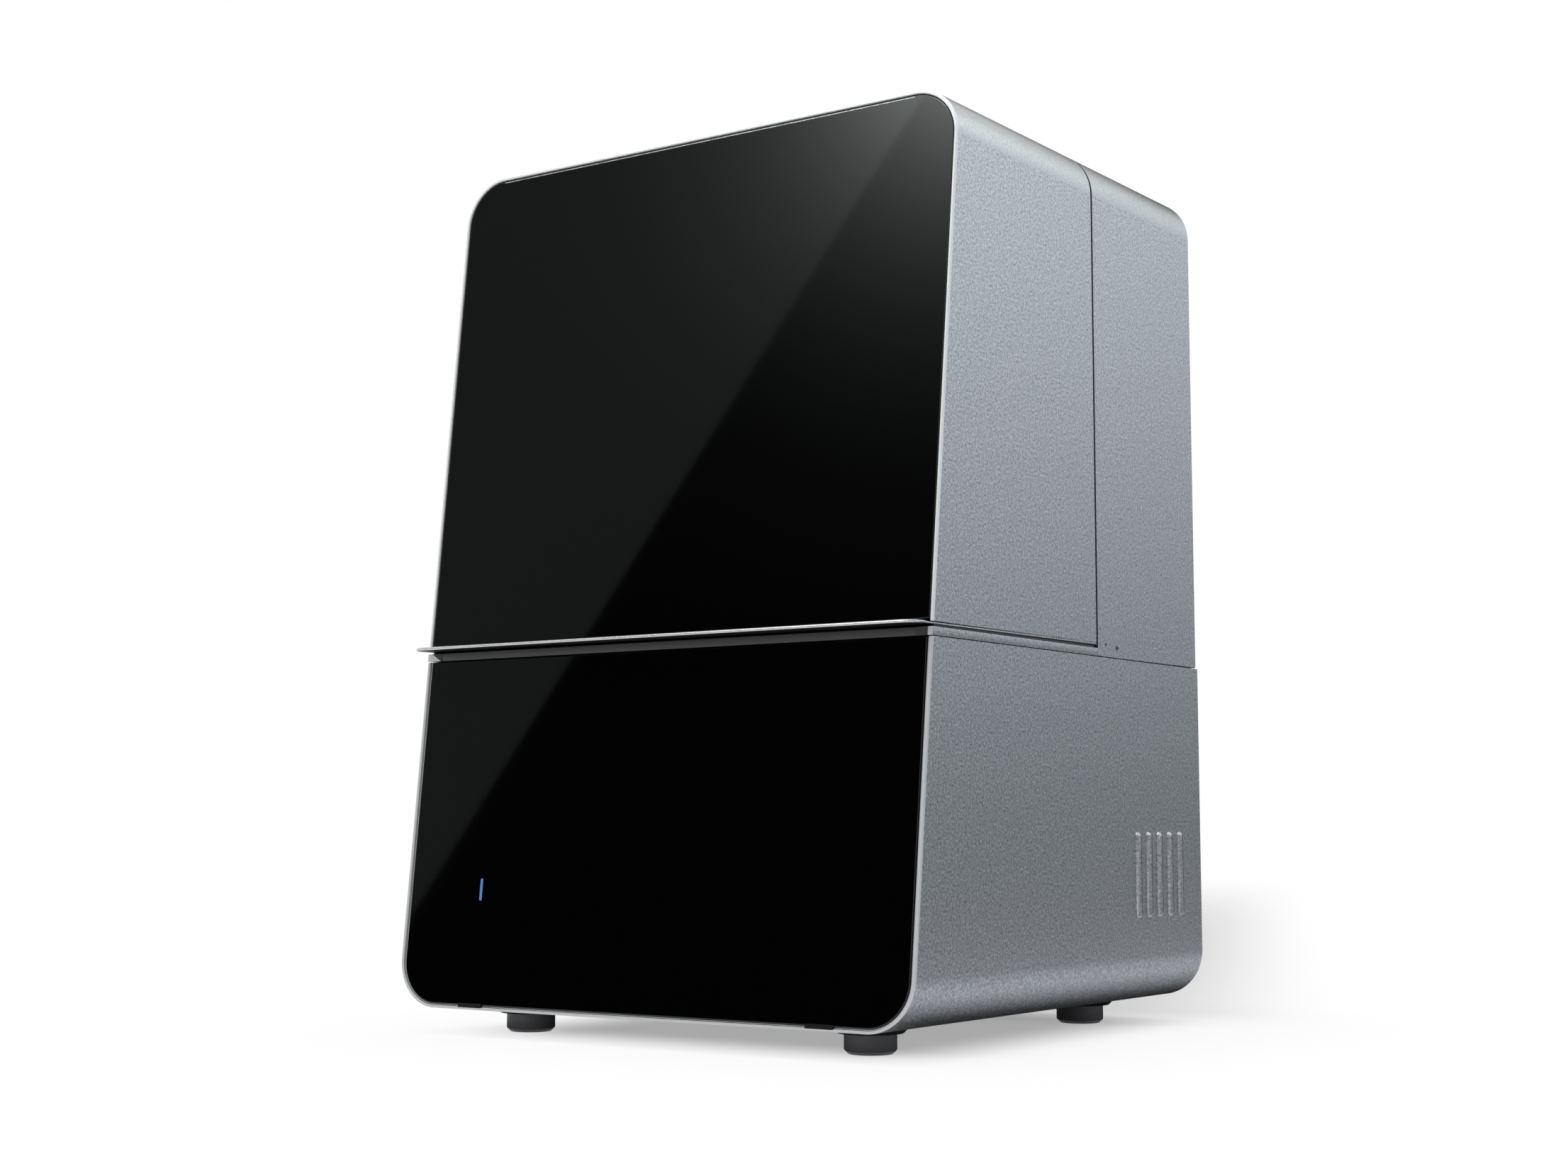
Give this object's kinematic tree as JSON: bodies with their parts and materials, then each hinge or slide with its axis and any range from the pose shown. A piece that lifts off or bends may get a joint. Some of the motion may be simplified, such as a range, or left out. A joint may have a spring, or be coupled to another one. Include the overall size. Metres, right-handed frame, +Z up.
{
  "type": "resin printer",
  "caption": "Desktop resin printer: metal case with a leaning black glass front, a hood that flips up, a vat over an exposure screen and a build platform on a screw-driven lift.",
  "frame": {"origin": "on the ground plane under the middle of the case", "axes": "+Z up, +X to the right seen from the front, front towards -Y"},
  "size_m": [0.4044, 0.3839, 0.5855],
  "materials": {
    "case_metal": "bead-blasted silver grey with bright cut edges",
    "black_glass": "polished black, light-blocking",
    "foot_rubber": "matte",
    "black_plastic": "fine moulded texture",
    "rotor_plastic": "smooth",
    "indicator": "lit blue light pipe",
    "back_sheet": "black powder coat",
    "deck_metal": "black powder coat",
    "screw_steel": "turned",
    "guard_wire": "bright wire",
    "port_metal": "plated sheet",
    "screen_glass": "dark glass",
    "vat_aluminium": "machined and blasted",
    "release_film": "clear stretched film",
    "column_aluminium": "anodised",
    "platform_aluminium": "anodised, ground underside",
    "rail_steel": "ground",
    "hinge_steel": "black plated",
    "motor_black": "black lacquer",
    "shroud_black": "matte",
    "lens_clear": "clear",
    "circuit_board": "solder mask",
    "sink_aluminium": "extruded",
    "supply_case": "folded sheet"
  },
  "bodies": {
    "chassis": {"base_shell": "case_metal", "rear_housing": "case_metal", "base_fascia": "black_glass", "rubber_feet": "foot_rubber", "hood_bumpers": "foot_rubber", "seam_seal": "foot_rubber", "foot_pads": "black_plastic", "fascia_clips": "black_plastic", "switch_housing": "black_plastic", "power_inlet": "black_plastic", "fan_frame": "black_plastic", "indicator_light": "indicator", "upper_back_panel": "back_sheet", "lower_back_panel": "back_sheet", "deck_plate": "deck_metal", "deck_rails": "deck_metal", "foot_screws": "screw_steel", "panel_screws": "screw_steel", "hinge_pins": "screw_steel", "fan_guard": "guard_wire", "data_ports": "port_metal", "lcd_screen": "screen_glass", "display_module": "screen_glass", "vat_body": "vat_aluminium", "film_ring": "vat_aluminium", "vat_film": "release_film", "z_column": "column_aluminium", "top_bearing_block": "column_aluminium", "motor_mount": "column_aluminium", "linear_rails": "rail_steel", "hinge_brackets": "hinge_steel", "z_motor": "motor_black", "light_shroud": "shroud_black", "lens_plate": "lens_clear", "led_board": "circuit_board", "control_board": "circuit_board", "heat_sink": "sink_aluminium", "power_supply": "supply_case"},
    "hood": {"hood_shell": "case_metal", "hood_glass": "black_glass", "hood_clips": "black_plastic", "hood_lip": "case_metal", "hood_arms": "hinge_steel"},
    "carriage": {"carriage_plate": "column_aluminium", "rail_blocks": "rail_steel", "ball_nut": "rail_steel", "platform_arm": "column_aluminium", "platform_joint": "rail_steel", "build_platform": "platform_aluminium", "platform_bolts": "screw_steel"},
    "screw": {"ball_screw": "rail_steel", "shaft_coupling": "column_aluminium"},
    "knob": {"platform_knob": "black_plastic"},
    "vat_screw_left": {"vat_screw_left": "black_plastic"},
    "vat_screw_right": {"vat_screw_right": "black_plastic"},
    "fan_rotor": {"fan_rotor": "rotor_plastic"},
    "rocker": {"power_rocker": "black_plastic"}
  },
  "joints": [
    {"name": "hood_hinge", "type": "hinge", "parent": "chassis", "child": "hood", "pos_m": [0, 0.059, 0.5755], "axis": [-1, 0, 0], "range_deg": [0, 80]},
    {"name": "platform_lift", "type": "slide", "parent": "chassis", "child": "carriage", "axis": [0, 0, 1], "range_m": [-0.2, 0]},
    {"name": "screw_turn", "type": "hinge", "parent": "chassis", "child": "screw", "pos_m": [0, 0.125, 0.4], "axis": [0, 0, 1], "range_deg": [-5, 14405]},
    {"name": "knob_turn", "type": "hinge", "parent": "carriage", "child": "knob", "pos_m": [0, -0.05566, 0.52], "axis": [0, 0, 1], "continuous": true},
    {"name": "vat_screw_left_turn", "type": "hinge", "parent": "chassis", "child": "vat_screw_left", "pos_m": [-0.132, -0.05566, 0.26], "axis": [0, 0, 1], "continuous": true},
    {"name": "vat_screw_right_turn", "type": "hinge", "parent": "chassis", "child": "vat_screw_right", "pos_m": [0.132, -0.05566, 0.26], "axis": [0, 0, 1], "continuous": true},
    {"name": "fan_spin", "type": "hinge", "parent": "chassis", "child": "fan_rotor", "pos_m": [-0.07, 0.17, 0.1473], "axis": [0, 1, 0], "continuous": true},
    {"name": "rocker_tilt", "type": "hinge", "parent": "chassis", "child": "rocker", "pos_m": [0.13, 0.187, 0.1173], "axis": [1, 0, 0], "range_deg": [0, 16]}
  ],
  "couplings": [
    {"joint": "screw_turn", "follows": "platform_lift", "rad_per_m": -1256.6}
  ]
}
